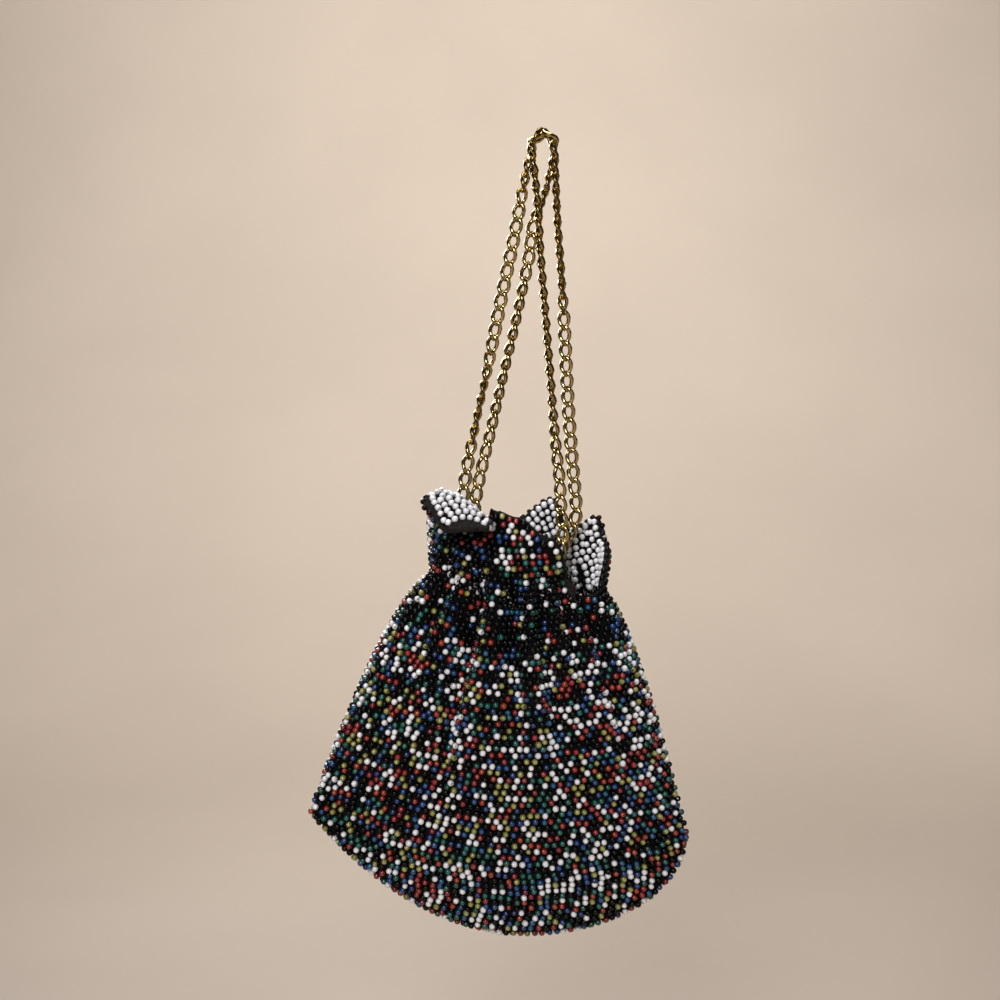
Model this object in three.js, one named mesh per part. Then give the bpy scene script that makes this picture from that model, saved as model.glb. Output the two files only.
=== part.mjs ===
// Beaded drawstring bag: a crocheted pouch gathered at its neck, a petalled collar above the neck with a
// facing on its inner side, and two closed chains that draw the neck together and hang the bag.
// Millimetres, +Z up, the front faces -Y. The origin is the point where the chains hang.
import * as THREE from 'three';
import { mergeVertices } from 'three/addons/utils/BufferGeometryUtils.js';

// Cloth
const WALL = 2.4;               // crocheted wall
const FACING = 1.2;             // inner layer of the collar
const CLEARANCE = 0.4;          // gap between the wall and the facing, and between the pouch and the collar

// The drawn neck is an oval. Its front and back hang lower than its sides by the sag, and its left end is
// drawn up by the lift.
const NECK = { x: -10.5, z: -190, halfWidth: 37, halfDepth: 22, sag: 6, lift: 8 };

// The bottom seam runs from the pointed left corner through the lowest point to the round right corner.
const BOTTOM = { x: -7.6, z: -333.9 };
const LEFT_CORNER = { reach: 91.1, z: -283.5, sharpness: 2 };
const RIGHT_CORNER = { reach: 68.5, z: -291.9, sharpness: 1 };

// The sides spread soonest just below the neck (1 would be straight), and the seam closes in a round edge.
const FLARE = 0.7;
const SEAM_EDGE = 8;

// Half depth of the body, from the neck (down 0) to the bottom seam (down 1)
const DEPTHS = [
  { down: 0, half: 22 },
  { down: 0.25, half: 23 },
  { down: 0.5, half: 20 },
  { down: 0.75, half: 15.5 },
  { down: 1, half: 9.5 },
];

// Folds of the gathered cloth: bearing around the neck in degrees (0 right, 90 back, 270 front), depth at the
// neck, and how far down the body each one runs
const FOLDS = [
  { bearing: 38, depth: 4.5, reach: 0.5 },
  { bearing: 62, depth: 5, reach: 0.75 },
  { bearing: 84, depth: 4.5, reach: 0.5 },
  { bearing: 104, depth: 5, reach: 0.65 },
  { bearing: 123, depth: 4, reach: 0.4 },
  { bearing: 143, depth: 5, reach: 0.8 },
  { bearing: 217, depth: 6, reach: 0.45 },
  { bearing: 242, depth: 7.5, reach: 0.95 },
  { bearing: 267, depth: 6.5, reach: 0.6 },
  { bearing: 286, depth: 7, reach: 0.62 },
  { bearing: 303, depth: 5, reach: 0.35 },
  { bearing: 320, depth: 6.5, reach: 0.7 },
];
const FOLD_HALF_WIDTH = 10.5;   // degrees
const FOLD_RISE = 28;           // how far the folds run up into the collar

// Collar rim: petals and the dips between them. Height is the length of cloth above the neck, lean its tilt
// from upright, swing how far that tilt turns away from straight outwards, curl how far the end of the petal
// rolls over, and lip the straight length left after the roll. Angles are in degrees.
const RIM = [
  { bearing: 8, height: 22, lean: 20, swing: 60, curl: 0, lip: 0 },
  { bearing: 31, height: 34, lean: 12, swing: 30, curl: 15, lip: 0 },
  { bearing: 50, height: 29, lean: 0, swing: 10, curl: 0, lip: 0 },
  { bearing: 65, height: 44, lean: 2, swing: 10, curl: 50, lip: 0 },
  { bearing: 108, height: 30, lean: 0, swing: 0, curl: 0, lip: 0 },
  { bearing: 146, height: 33, lean: 6, swing: 0, curl: 40, lip: 0 },
  { bearing: 198, height: 27, lean: 2, swing: 10, curl: 10, lip: 0 },
  { bearing: 212, height: 35, lean: 2, swing: 12, curl: 55, lip: 3 },
  { bearing: 222, height: 54, lean: 0, swing: 16, curl: 122, lip: 10 },
  { bearing: 232, height: 59.5, lean: 0, swing: 18, curl: 150, lip: 12 },
  { bearing: 249, height: 45.5, lean: 0, swing: 26, curl: 125, lip: 6 },
  { bearing: 256, height: 39.3, lean: -1, swing: 6, curl: 10, lip: 0 },
  { bearing: 270, height: 37.6, lean: 0, swing: 0, curl: 0, lip: 0 },
  { bearing: 290, height: 29.3, lean: 3, swing: 0, curl: 0, lip: 0 },
  { bearing: 320, height: 2, lean: 0, swing: 0, curl: 0, lip: 0 },
  { bearing: 347, height: 3, lean: 0, swing: 20, curl: 0, lip: 0 },
];
const ROLL_RADIUS = 6;          // radius of a rolled-over petal end

// The facing leaves out the low stretch of the collar at the front right, between these bearings.
const BARE_STRETCH = { from: 311, to: 356 };

// Chains, over the links
const CHAIN_RADIUS = 2.1;

// Ovals in which the chains lie inside the drawn neck, below its height, from one bearing round to the other
const LEFT_RING = { x: -16.5, halfWidth: 18.5, halfDepth: 10.6, below: 9, from: 225, to: 495 };
const RIGHT_RING = { x: -5, halfWidth: 19, halfDepth: 10.2, below: 3, from: 45, to: 315 };

// Strands between the hanging point and the neck, as points along each chain. Outer strands run down to the
// ring in the neck, inner strands run back up from it.
const LEFT_OUTER = [
  [0, 1.9, 2.1], [-3.6, 1.9, 0], [-5.2, 1.9, -5], [-6.9, 1.9, -12.6], [-9, 1.5, -23.5], [-12.4, 0, -42],
  [-18.1, -1, -69.3], [-23.2, -2, -96], [-28.6, -3, -121.4], [-33.2, -3.5, -147.4], [-34, -4, -168],
  [-34, -4.5, -186],
];
const LEFT_INNER = [
  [-31.5, 4.5, -186], [-29.6, 4, -168], [-28.2, 3, -150], [-21.6, 2.5, -120.5], [-16, 2, -95.8],
  [-11.3, 2, -75.2], [-5.9, 2, -48.7], [-4.2, 2, -36], [0.4, 2, -23], [3.2, 1.9, -12.2], [4.2, 1.9, -5],
  [3.4, 1.9, 0],
];
const RIGHT_OUTER = [
  [0, -3.7, 2.1], [3.6, -3.7, 0], [4.6, -3.7, -5], [5, -3.7, -14.7], [5.9, -3.5, -33.6], [7.3, -2, -52],
  [8.8, 0, -75.2], [10.5, 2, -108], [12.2, 4, -131], [14.1, 6.5, -151], [14.3, 6.6, -157],
  [11.6, 6.8, -165.5], [8, 6.6, -172.5], [6.8, 6, -183],
];
const RIGHT_INNER = [
  [6.8, -5, -182], [7, -4.6, -172.5], [8.3, -4.4, -164.5], [7.5, -4.2, -157], [6.8, -4, -143],
  [5, -4, -125.6], [2.9, -4, -99.5], [0.8, -4, -73.5], [-1.3, -4, -46.6], [-2.1, -4, -31.9],
  [-3.6, -3.7, -15.5], [-4.6, -3.7, -6], [-3.6, -3.7, 0],
];

// Mesh steps
const COLUMNS = 90;             // around the bag
const BODY_STEPS = 13;          // from the neck to the bottom seam
const COLLAR_STEPS = 7;         // from the neck to the rim
const CROWDING = 1.35;          // how much these steps crowd towards the seam and the rim, 1 is not at all
const FACING_ROWS = [1, 6];     // first and last of those steps that the facing covers
const RING_STEPS = 8;
const CHAIN_STEPS = 2;          // between two points of a chain
const CHAIN_SIDES = 8;

// Finishes
const THREAD_BLACK = { color: 0x17161a, roughness: 0.85, metalness: 0 };
const BEAD_WHITE = { color: 0xd9d7d4, roughness: 0.35, metalness: 0 };
const PALE_GOLD = { color: 0xc9b27a, roughness: 0.28, metalness: 1 };

const radians = THREE.MathUtils.degToRad;
const mix = THREE.MathUtils.lerp;
const modulo = THREE.MathUtils.euclideanModulo;
const ease = (share) => THREE.MathUtils.smoothstep(share, 0, 1);

// A soft hump of height 1 at 0 that ends at -1 and 1
const hump = (share) => (Math.abs(share) < 1 ? Math.cos((Math.PI / 2) * share) ** 2 : 0);

// Angle from one bearing to another, between -180 and 180 degrees
const turn = (from, to) => modulo(to - from + 180, 360) - 180;

// Shares from 0 to 1 in equal steps, or closer together towards 1 where the exponent is above 1
const shares = (steps, exponent = 1) =>
  Array.from({ length: steps + 1 }, (_, k) => 1 - (1 - k / steps) ** exponent);

// Half depth of the body at a share of the way down, eased between the rows of the table
function depthAt(down) {
  const next = DEPTHS.findIndex((row, index) => index > 0 && down <= row.down);
  const above = DEPTHS[next - 1];
  const below = DEPTHS[next];
  return mix(above.half, below.half, ease((down - above.down) / (below.down - above.down)));
}

// Row of the rim table at a bearing, eased between the two rows on either side
function petalAt(bearing) {
  const starts = RIM.map((row) => row.bearing - RIM[0].bearing);
  const place = modulo(bearing - RIM[0].bearing, 360);
  const index = starts.findLastIndex((start) => start <= place);
  const here = RIM[index];
  const next = RIM[(index + 1) % RIM.length];
  const share = ease((place - starts[index]) / ((starts[index + 1] ?? 360) - starts[index]));
  const eased = (column) => mix(here[column], next[column], share);
  return {
    height: eased('height'),
    lean: radians(eased('lean')),
    heading: radians(bearing + eased('swing')),
    curl: radians(eased('curl')),
    lip: eased('lip'),
  };
}

// Height of the drawn neck at a bearing, given as its cosine and sine
const neckHeight = (c, s) => NECK.z + NECK.lift * Math.max(0, -c) ** 2 - NECK.sag * s * s;

// Depth of the folds at a bearing, where remains gives the share of a fold that is left there
function foldAt(bearing, remains) {
  const depth = (fold) => fold.depth * hump(turn(fold.bearing, bearing) / FOLD_HALF_WIDTH) * remains(fold);
  return FOLDS.reduce((sum, fold) => sum + depth(fold), 0);
}

// Point of the body at a bearing and a share of the way down from the neck to the bottom seam. The section is
// an oval that blends from the neck into the seam, and the inset moves it inwards to the wall's other face.
function bodyPoint(bearing, down, inset) {
  const c = Math.cos(radians(bearing));
  const s = Math.sin(radians(bearing));
  const corner = c < 0 ? LEFT_CORNER : RIGHT_CORNER;
  const seamX = BOTTOM.x + corner.reach * c;
  const seamZ = mix(corner.z, BOTTOM.z, Math.abs(s) ** corner.sharpness) + inset;
  const fold = foldAt(bearing, (row) => hump(down / row.reach));
  const half = (depthAt(down) - inset) * Math.sqrt(1 - down ** SEAM_EDGE);
  return new THREE.Vector3(
    mix(NECK.x + NECK.halfWidth * c, seamX, down ** FLARE) - c * (inset + fold),
    s * (half - fold),
    mix(neckHeight(c, s), seamZ, down),
  );
}

// Point of the collar at a bearing and a share of the way up from the neck to the rim. The cloth rises
// straight at its lean, rolls over on an arc and ends in a straight lip. The folds die out on the way up.
function collarPoint(bearing, up, inset) {
  const c = Math.cos(radians(bearing));
  const s = Math.sin(radians(bearing));
  const { height, lean, heading, curl, lip } = petalAt(bearing);
  const along = height * up;
  const straight = Math.min(along, height - ROLL_RADIUS * curl - lip);
  const rolled = Math.min(along - straight, ROLL_RADIUS * curl);
  const hanging = along - straight - rolled;
  const tilt = lean + rolled / ROLL_RADIUS;
  const forward =
    straight * Math.sin(lean) + ROLL_RADIUS * (Math.cos(lean) - Math.cos(tilt)) + hanging * Math.sin(tilt);
  const rise =
    straight * Math.cos(lean) + ROLL_RADIUS * (Math.sin(tilt) - Math.sin(lean)) + hanging * Math.cos(tilt);
  const inwards = foldAt(bearing, () => hump(along / FOLD_RISE)) + inset * Math.cos(tilt);
  return new THREE.Vector3(
    NECK.x + (NECK.halfWidth - inwards) * c + forward * Math.cos(heading),
    (NECK.halfDepth - inwards) * s + forward * Math.sin(heading),
    neckHeight(c, s) + rise + inset * Math.sin(tilt),
  );
}

// Geometry of a grid of points, row by row, with each row closed on itself
function closedRows(rows, caps = []) {
  const width = rows[0].length;
  const index = [...caps];
  for (let row = 0; row < rows.length - 1; row += 1) {
    for (let k = 0; k < width; k += 1) {
      const a = row * width + k;
      const b = row * width + ((k + 1) % width);
      index.push(a, b, a + width, b, b + width, a + width);
    }
  }
  const geometry = new THREE.BufferGeometry().setFromPoints(rows.flat());
  geometry.setIndex(index);
  const welded = mergeVertices(geometry);
  welded.computeVertexNormals();
  return welded;
}

// Triangles that close the first and the last row of a grid whose rows run up one face and down the other
function endCaps(rowCount, width) {
  const last = (rowCount - 1) * width;
  const caps = [];
  for (let k = 0; k < width / 2 - 1; k += 1) {
    const across = width - 1 - k;
    caps.push(k, across, across - 1, k, across - 1, k + 1);
    caps.push(last + k, last + across - 1, last + across, last + k, last + k + 1, last + across - 1);
  }
  return caps;
}

const bearings = shares(COLUMNS).slice(0, -1).map((share) => 360 * share);
const collarRows = shares(COLLAR_STEPS, CROWDING);

// Rows of points over one face of a wall, at shares of its height and at every bearing
const faceRows = (pointAt, rows, inset) =>
  rows.map((share) => bearings.map((bearing) => pointAt(bearing, share, inset)));

// Outer face from the seam up to the neck and inner face back down. The rows at the seam close the bottom.
function pouchGeometry() {
  const down = shares(BODY_STEPS, CROWDING);
  const outer = faceRows(bodyPoint, down.toReversed(), 0);
  const inner = faceRows(bodyPoint, down, WALL);
  return closedRows([...outer, ...inner]);
}

// Outer face from the neck up to the rim, inner face back down, and across to the first row again
function collarGeometry() {
  const outer = faceRows(collarPoint, collarRows, 0);
  const inner = faceRows(collarPoint, collarRows.toReversed(), WALL);
  return closedRows([...outer, ...inner, outer[0]]);
}

// A strip along the inner side of the petals, with one section at each column of the wall that it lies on
function facingGeometry() {
  const beforeGap = bearings.filter((bearing) => bearing <= BARE_STRETCH.from);
  const afterGap = bearings.filter((bearing) => bearing >= BARE_STRETCH.to);
  const covered = [...afterGap, ...beforeGap];
  const up = collarRows.slice(FACING_ROWS[0], FACING_ROWS[1] + 1);
  const sections = covered.toReversed().map((bearing) => [
    ...up.map((share) => collarPoint(bearing, share, WALL + CLEARANCE)),
    ...up.toReversed().map((share) => collarPoint(bearing, share, WALL + CLEARANCE + FACING)),
  ]);
  return closedRows(sections, endCaps(sections.length, sections[0].length));
}

// Closed smooth route whose steps follow its points, so that a bend with more points gets more steps
class Route extends THREE.CatmullRomCurve3 {
  getPointAt(share, target) {
    return this.getPoint(share, target);
  }

  getTangentAt(share, target) {
    return this.getTangent(share, target);
  }
}

// Points of a chain where it lies in the neck
function ringPoints({ x, halfWidth, halfDepth, below, from, to }) {
  return shares(RING_STEPS).map((share) => {
    const c = Math.cos(radians(mix(from, to, share)));
    const s = Math.sin(radians(mix(from, to, share)));
    return [x + halfWidth * c, halfDepth * s, NECK.z - below - NECK.sag * s * s];
  });
}

// Tube of a chain from the hanging point down, round the neck and back up
function chainGeometry(outer, ring, inner) {
  const points = [...outer, ...ringPoints(ring), ...inner].map((point) => new THREE.Vector3(...point));
  const route = new Route(points, true);
  return new THREE.TubeGeometry(route, points.length * CHAIN_STEPS, CHAIN_RADIUS, CHAIN_SIDES, true);
}

function piece(name, geometry, finish) {
  const mesh = new THREE.Mesh(geometry, new THREE.MeshStandardMaterial(finish));
  mesh.name = name;
  return mesh;
}

// The collar stands on the neck of the pouch.
const collar = new THREE.Group();
collar.name = 'collar_layers';
collar.position.z = CLEARANCE;
collar.add(
  piece('collar', collarGeometry(), THREAD_BLACK),
  piece('collar_facing', facingGeometry(), BEAD_WHITE),
);

const bag = new THREE.Group();
bag.name = 'beaded_drawstring_bag';
bag.add(
  piece('pouch', pouchGeometry(), THREAD_BLACK),
  collar,
  piece('chain_left', chainGeometry(LEFT_OUTER, LEFT_RING, LEFT_INNER), PALE_GOLD),
  piece('chain_right', chainGeometry(RIGHT_OUTER, RIGHT_RING, RIGHT_INNER), PALE_GOLD),
);

export default bag;
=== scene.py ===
"""Beaded drawstring bag: crocheted cloth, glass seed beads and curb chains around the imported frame.

Tables and shape functions work in millimetres, and meshes are written in metres. The front faces
-Y. A bearing goes round the neck in degrees: 0 right, 90 back, 180 left, 270 front. A run is the
place on a meridian of the wall: 0 at the drawn neck, 1 at the bottom seam, -1 at the collar's rim.
"""

import math

import bpy
import numpy as np
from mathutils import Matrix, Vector


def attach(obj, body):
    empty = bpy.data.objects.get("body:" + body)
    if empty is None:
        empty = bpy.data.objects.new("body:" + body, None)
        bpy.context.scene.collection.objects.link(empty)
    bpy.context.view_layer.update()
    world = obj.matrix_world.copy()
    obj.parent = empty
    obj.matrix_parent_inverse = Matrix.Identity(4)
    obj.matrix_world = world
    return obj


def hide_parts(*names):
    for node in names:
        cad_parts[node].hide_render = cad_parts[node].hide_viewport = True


bl_info = {
    "name": "Beaded drawstring bag",
    "version": (1, 0, 0),
    "blender": (4, 5, 0),
    "location": "3D View > Sidebar > Beaded bag",
    "description": "Builds the cloth, beads and chains of a beaded drawstring bag around its frame",
    "category": "Object",
}

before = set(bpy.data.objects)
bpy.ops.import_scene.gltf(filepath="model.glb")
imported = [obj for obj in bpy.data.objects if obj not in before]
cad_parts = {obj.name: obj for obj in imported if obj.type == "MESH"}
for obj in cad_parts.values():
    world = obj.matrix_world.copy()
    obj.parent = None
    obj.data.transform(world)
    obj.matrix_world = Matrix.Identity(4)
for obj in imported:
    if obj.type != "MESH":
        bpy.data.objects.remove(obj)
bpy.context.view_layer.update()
BODY = "root"
MM = 0.001

# Drawn neck, bottom seam and corners of the pouch
NECK_X = -10.5
NECK_Z = -190.0
NECK_HALF_WIDTH = 37.0
NECK_HALF_DEPTH = 22.0
NECK_SAG = 6.0
NECK_LIFT = 8.0
BOTTOM_X = -7.6
BOTTOM_Z = -333.9
LEFT_REACH = 91.1
LEFT_Z = -283.5
LEFT_SHARPNESS = 2.0
RIGHT_REACH = 68.5
RIGHT_Z = -291.9
RIGHT_SHARPNESS = 1.0
FLARE = 0.7
SEAM_EDGE = 8

# Half depth of the body: share of the way down, half depth
DEPTHS = np.array([(0, 22), (0.25, 23), (0.5, 20), (0.75, 15.5), (1, 9.5)], float)

# Folds of the gathered cloth: bearing, depth at the neck, how far down the body each one runs
FOLDS = np.array(
    [
        (38, 4.5, 0.5), (62, 5, 0.75), (84, 4.5, 0.5), (104, 5, 0.65), (123, 4, 0.4),
        (143, 5, 0.8), (217, 6, 0.45), (242, 7.5, 0.95), (267, 6.5, 0.6), (286, 7, 0.62),
        (303, 5, 0.35), (320, 6.5, 0.7),
    ],
    float,
)
FOLD_HALF_WIDTH = 10.5
CREASE_HALF_WIDTH = 5.0
CREASE_RUN = 0.45
FOLD_RISE = 28.0

# Collar rim: bearing, height, lean, swing, curl, lip
RIM = np.array(
    [
        (8, 22, 20, 60, 0, 0), (31, 34, 12, 30, 15, 0), (50, 29, 0, 10, 0, 0),
        (65, 44, 2, 10, 50, 0), (108, 30, 0, 0, 0, 0), (146, 33, 6, 0, 40, 0),
        (198, 27, 2, 10, 10, 0), (212, 35, 2, 12, 55, 3), (222, 54, 0, 16, 122, 10),
        (232, 59.5, 0, 18, 150, 12), (249, 45.5, 0, 26, 125, 6), (256, 39.3, -1, 6, 10, 0),
        (270, 37.6, 0, 0, 0, 0), (290, 29.3, 3, 0, 0, 0), (320, 2, 0, 0, 0, 0),
        (347, 3, 0, 20, 0, 0),
    ],
    float,
)
ROLL_RADIUS = 6.0
BARE_FROM = 311.0
BARE_TO = 356.0

# Bare border along the rim: bearing, width on the outer face, width on the inner face, and how far
# the binding stays below the frame's rim to leave room for the beads on the edge
BORDERS = np.array(
    [
        (0, 2.0, 0.8, 1.0), (31, 2.0, 1.0, 1.0), (60, 2.0, 1.5, 1.0), (100, 2.0, 1.8, 1.0),
        (190, 2.0, 3.0, 1.0), (205, 2.4, 5.0, 1.0), (218, 2.6, 4.0, 1.0), (226, 2.6, 2.8, 1.0),
        (249, 2.4, 2.6, 1.0), (251, 2.8, 2.8, 1.8), (252, 4.0, 3.4, 3.6), (252.8, 4.4, 3.6, 4.0),
        (253.6, 3.4, 3.0, 2.8), (254.6, 2.0, 2.4, 1.2), (256, 1.0, 2.2, 0.4), (257, 0.7, 2.0, 0.2),
        (273, 0.7, 2.0, 0.2), (282, 2.4, 2.2, 0.8), (292, 3.4, 2.2, 1.0), (318, 3.2, 2.0, 1.0),
        (345, 2.0, 0.8, 1.0), (360, 2.0, 0.8, 1.0),
    ],
    float,
)

# Columns of the border table, and the largest slope factor that widens a border
OUTER_WIDTH = 1
INNER_WIDTH = 2
RIM_DROP = 3
STEEPEST = 2.8

# Collar: gap above the pouch, drop of the cloth's edge below the binding's, least share of a petal
COLLAR_GAP = 0.4
CLOTH_DROP = 0.7
SHORTEST = 0.1

# Binding: lap under the beads, height of its round edge as a share of its half thickness, shares of
# a petal that its sides and any point of it may take up, and its width on the UV map
BORDER_TUCK = 0.3
BINDING_CROWN = 0.8
SIDE_LIMIT = 0.9
BINDING_LIMIT = 0.95
TAPE_WIDTH = 0.012

# Ripples of the binding: size, waves in a round, start in degrees
RIPPLES = ((0.1, 31.0, 0.0), (0.06, 47.0, 60.0))

# Facing: drop of its top below the rim, lowest run, and limits of its top
FACING_DROP = 1.2
FACING_LOW = 0.14
FACING_TOP = (0.3, 0.97)

# Bearings between which the pleat beside the rolled petal hides the facing
PLEAT_FROM = 250.0
PLEAT_TO = 256.5

# Bearings between which the rolled lip and the middle petal have no beads on their edge
PLAIN_FROM = 225.0
PLAIN_TO = 284.0

# Depths in the wall, measured inwards from the frame's outer face
WALL = 2.4
CLOTH_FACE = 1.2
BEAD_SEAT = 0.75
FACING_FACE = 2.55
FACING_BACK = 2.95
FACING_BEAD_SEAT = 3.1
BINDING_OUT = 0.8
BINDING_IN = 3.15

# Routes of the chains: outer strand down, ring in the neck, inner strand up
LEFT_OUTER = [
    (0, 1.9, 2.1), (-3.6, 1.9, 0), (-5.2, 1.9, -5), (-6.9, 1.9, -12.6), (-9, 1.5, -23.5),
    (-12.4, 0, -42), (-18.1, -1, -69.3), (-23.2, -2, -96), (-28.6, -3, -121.4),
    (-33.2, -3.5, -147.4), (-34, -4, -168), (-34, -4.5, -186),
]
LEFT_INNER = [
    (-31.5, 4.5, -186), (-29.6, 4, -168), (-28.2, 3, -150), (-21.6, 2.5, -120.5), (-16, 2, -95.8),
    (-11.3, 2, -75.2), (-5.9, 2, -48.7), (-4.2, 2, -36), (0.4, 2, -23), (3.2, 1.9, -12.2),
    (4.2, 1.9, -5), (3.4, 1.9, 0),
]
RIGHT_OUTER = [
    (0, -3.7, 2.1), (3.6, -3.7, 0), (4.6, -3.7, -5), (5, -3.7, -14.7), (5.9, -3.5, -33.6),
    (7.3, -2, -52), (8.8, 0, -75.2), (10.5, 2, -108), (12.2, 4, -131), (14.1, 6.5, -151),
    (14.3, 6.6, -157), (11.6, 6.8, -165.5), (8, 6.6, -172.5), (6.8, 6, -183),
]
RIGHT_INNER = [
    (6.8, -5, -182), (7, -4.6, -172.5), (8.3, -4.4, -164.5), (7.5, -4.2, -157), (6.8, -4, -143),
    (5, -4, -125.6), (2.9, -4, -99.5), (0.8, -4, -73.5), (-1.3, -4, -46.6), (-2.1, -4, -31.9),
    (-3.6, -3.7, -15.5), (-4.6, -3.7, -6), (-3.6, -3.7, 0),
]

# Ovals in the neck: centre x, half width, half depth, below the neck, from bearing, to bearing
LEFT_RING = (-16.5, 18.5, 10.6, 9.0, 225.0, 495.0)
RIGHT_RING = (-5.0, 19.0, 10.2, 3.0, 45.0, 315.0)
RING_STEPS = 8

# Turn of the links about the chain, in degrees from lying flat to the front: height, turn
LEFT_OUTER_TURN = [
    (2, 80), (-20, 70), (-28, 10), (-75, 0), (-92, 40), (-104, 85), (-122, 85), (-134, 30),
    (-146, 5), (-190, 0),
]
LEFT_INNER_TURN = [
    (2, 90), (-24, 85), (-34, 20), (-50, 10), (-62, 55), (-100, 60), (-128, 35), (-150, 10),
    (-190, 0),
]
RIGHT_OUTER_TURN = [(2, 85), (-66, 80), (-74, 15), (-120, 0), (-150, 10), (-190, 0)]
RIGHT_INNER_TURN = [(2, 85), (-110, 80), (-135, 40), (-160, 20), (-190, 10)]

# Steps of the grids, and the powers that crowd them
CLOTH_COLUMNS = 288
BODY_STEPS = 84
COLLAR_STEPS = 36
CROWDING = 1.35
BINDING_COLUMNS = 640
BINDING_STEPS = 5
BINDING_ARC = 7
MEASURE_BEARINGS = 1440
MEASURE_RUNS = 240
MEASURE_CROWDING = 1.6
FACING_BEARINGS = 901
FACING_STEPS = 48
FACING_ROWS = 250
FACING_COLUMNS = 25
ROUTE_STEPS = 24

# Bead: a closed profile, along the thread and away from it, in bead radii
BEAD_PROFILE = np.array(
    [(-0.7, 0.26), (-0.94, 0.44), (-0.43, 0.99), (0.43, 0.99), (0.94, 0.44), (0.7, 0.26)]
)
BEAD_SIDES = 8

# Link: steps round the oval and round the wire, twist of its ends, and the front that links turn to
LINK_STEPS = 14
LINK_SIDES = 6
LINK_TWIST = 52.0
LINK_FRONT = np.array([0.0, -1.0, 0.15])

# Bead colours: share of the beads on the outside, and the further share of black by run near the
# gathers, which is partly the bag's own black beads and partly painted shade of the folds
COLOURS = ("white", "black", "red", "green", "blue", "yellow")
SHARES = (0.235, 0.225, 0.165, 0.125, 0.16, 0.09)
MORE_BLACK = (
    (-1.0, 0.0), (-0.6, 0.08), (-0.4, 0.3), (-0.25, 0.52), (0.0, 0.55), (0.1, 0.5), (0.15, 0.2),
    (0.22, 0.0),
)
SEED = 20

# Glass of each bead colour: painted shade next to the thread, roughness, specular level, shifts of
# the tint
GLASS = {
    "white": (0.6, 0.16, 0.5, [(0.94, 0.94, 0.98), (1, 1, 1), (1.0, 0.985, 0.97)]),
    "black": (0.6, 0.07, 0.2, [(0.7, 0.7, 0.7), (1, 1, 1), (1.6, 1.4, 1.6)]),
    "red": (0.4, 0.08, 0.7, [(0.55, 0.5, 1.1), (1, 1, 1), (1.15, 2.2, 1.1)]),
    "green": (0.4, 0.08, 0.7, [(0.8, 0.55, 0.55), (1, 1, 1), (1.0, 1.1, 1.6)]),
    "blue": (0.4, 0.08, 0.7, [(0.8, 0.45, 0.4), (1, 1, 1), (1.0, 1.9, 0.9)]),
    "yellow": (0.35, 0.08, 0.7, [(0.75, 0.75, 0.7), (1, 1, 1), (1.05, 1.1, 1.3)]),
}

# All glass: grain per metre, range of a bead's roughness as shares, index of refraction
GLASS_GRAIN = 900.0
GLASS_GLOSS = (0.7, 1.4)
GLASS_IOR = 1.52

# Shade that leaves a colour as it is
PLAIN = (1.0, 1.0, 1.0)

# Thread: stitches across the UV map and grain per metre, for walls, facing and tape
WALL_STITCH = (90.0, 160.0)
FACING_STITCH = (60.0, 160.0)
TAPE_STITCH = (300.0, 800.0)

# Depth of a stitch in metres, and the height of the twist lines as a share of it
STITCH_DEPTH = 0.0006
TWIST_SHARE = 0.35

# Gold: colour shares of the painted shade on the wire's sides and of the duller patches, range of
# roughness, depth of fine wear, and grain per metre of patches, roughness and wear
GOLD_PAINTED_SHADE = (0.17, 0.14, 0.09)
GOLD_PATCH = (0.85, 0.83, 0.8)
GOLD_GLOSS = (0.12, 0.24)
WEAR_DEPTH = 0.00003
PATCH_GRAIN = 220.0
GLOSS_GRAIN = 700.0
WEAR_GRAIN = 1500.0

# Stage in millimetres: floor level, rows of its flat front, half width, the bend up to the backdrop
# and the top of the backdrop above the floor
FLOOR_LEVEL = -430.0
FLOOR_FRONT = (-750.0, -100.0)
FLOOR_HALF_WIDTH = 860.0
FLOOR_COLUMNS = 9
BEND_START = 500.0
BEND_RADIUS = 1200.0
BEND_STEPS = 19
BACKDROP_RISE = 2600.0

# Floor tones: painted shade near the bag, metres over which it fades behind and beside it, and grain
NEAR_PAINTED_SHADE = (0.5, 0.5, 0.51)
FADE_BEHIND = (0.1, 1.0)
FADE_BESIDE = (0.55, 0.8)
FLOOR_GRAIN = 3.0

# Surroundings: colour and strength as light, strength of the floor's colour that the camera sees
AMBIENT = (0.9, 0.85, 0.8, 1.0)
AMBIENT_STRENGTH = 0.05
PAST_FLOOR_STRENGTH = 0.8

# Camera: place in metres, sensor and lens in millimetres
CAMERA_PLACE = (-0.01806, -0.65, -0.1512)
CAMERA_SENSOR = 36.0
CAMERA_LENS = 55.71

# Soft area lights: name, place in metres, target, size, power and spread of the beam in degrees
LIGHTS = (
    ("key", (-0.2, -0.74, 0.1), (-0.01, 0.0, -0.22), 0.36, 6.0, 180.0),
    ("front_fill", (0.75, -0.8, -0.1), (-0.01, 0.0, -0.2), 0.5, 0.6, 180.0),
    ("top", (0.0, 0.1, 0.85), (0.0, 0.0, -0.25), 0.6, 1.2, 70.0),
    ("back_fill", (-0.4, 0.9, 0.3), (0.0, 0.0, -0.2), 0.6, 1.6, 70.0),
    ("backdrop", (0.0, 0.3, 1.4), (0.0, 1.7, 0.1), 1.2, 13.6, 130.0),
)

# Rows of beads: distance of the seam row from the seam, clearance above it in pitches, first row of
# the collar in pitches, start of the facing, its first row in spacings, and how near beads of
# neighbouring rows may come
SEAM_ROW = 0.9
SEAM_CLEARANCE = 0.9
COLLAR_START = 0.3
FACING_START = 0.8
FACING_FIRST = 0.45
EDGE_TUCK = 0.4
COLLAR_CROWDING = 0.74
FACING_CROWDING = 0.8
RIM_SINK = 0.8

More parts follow.
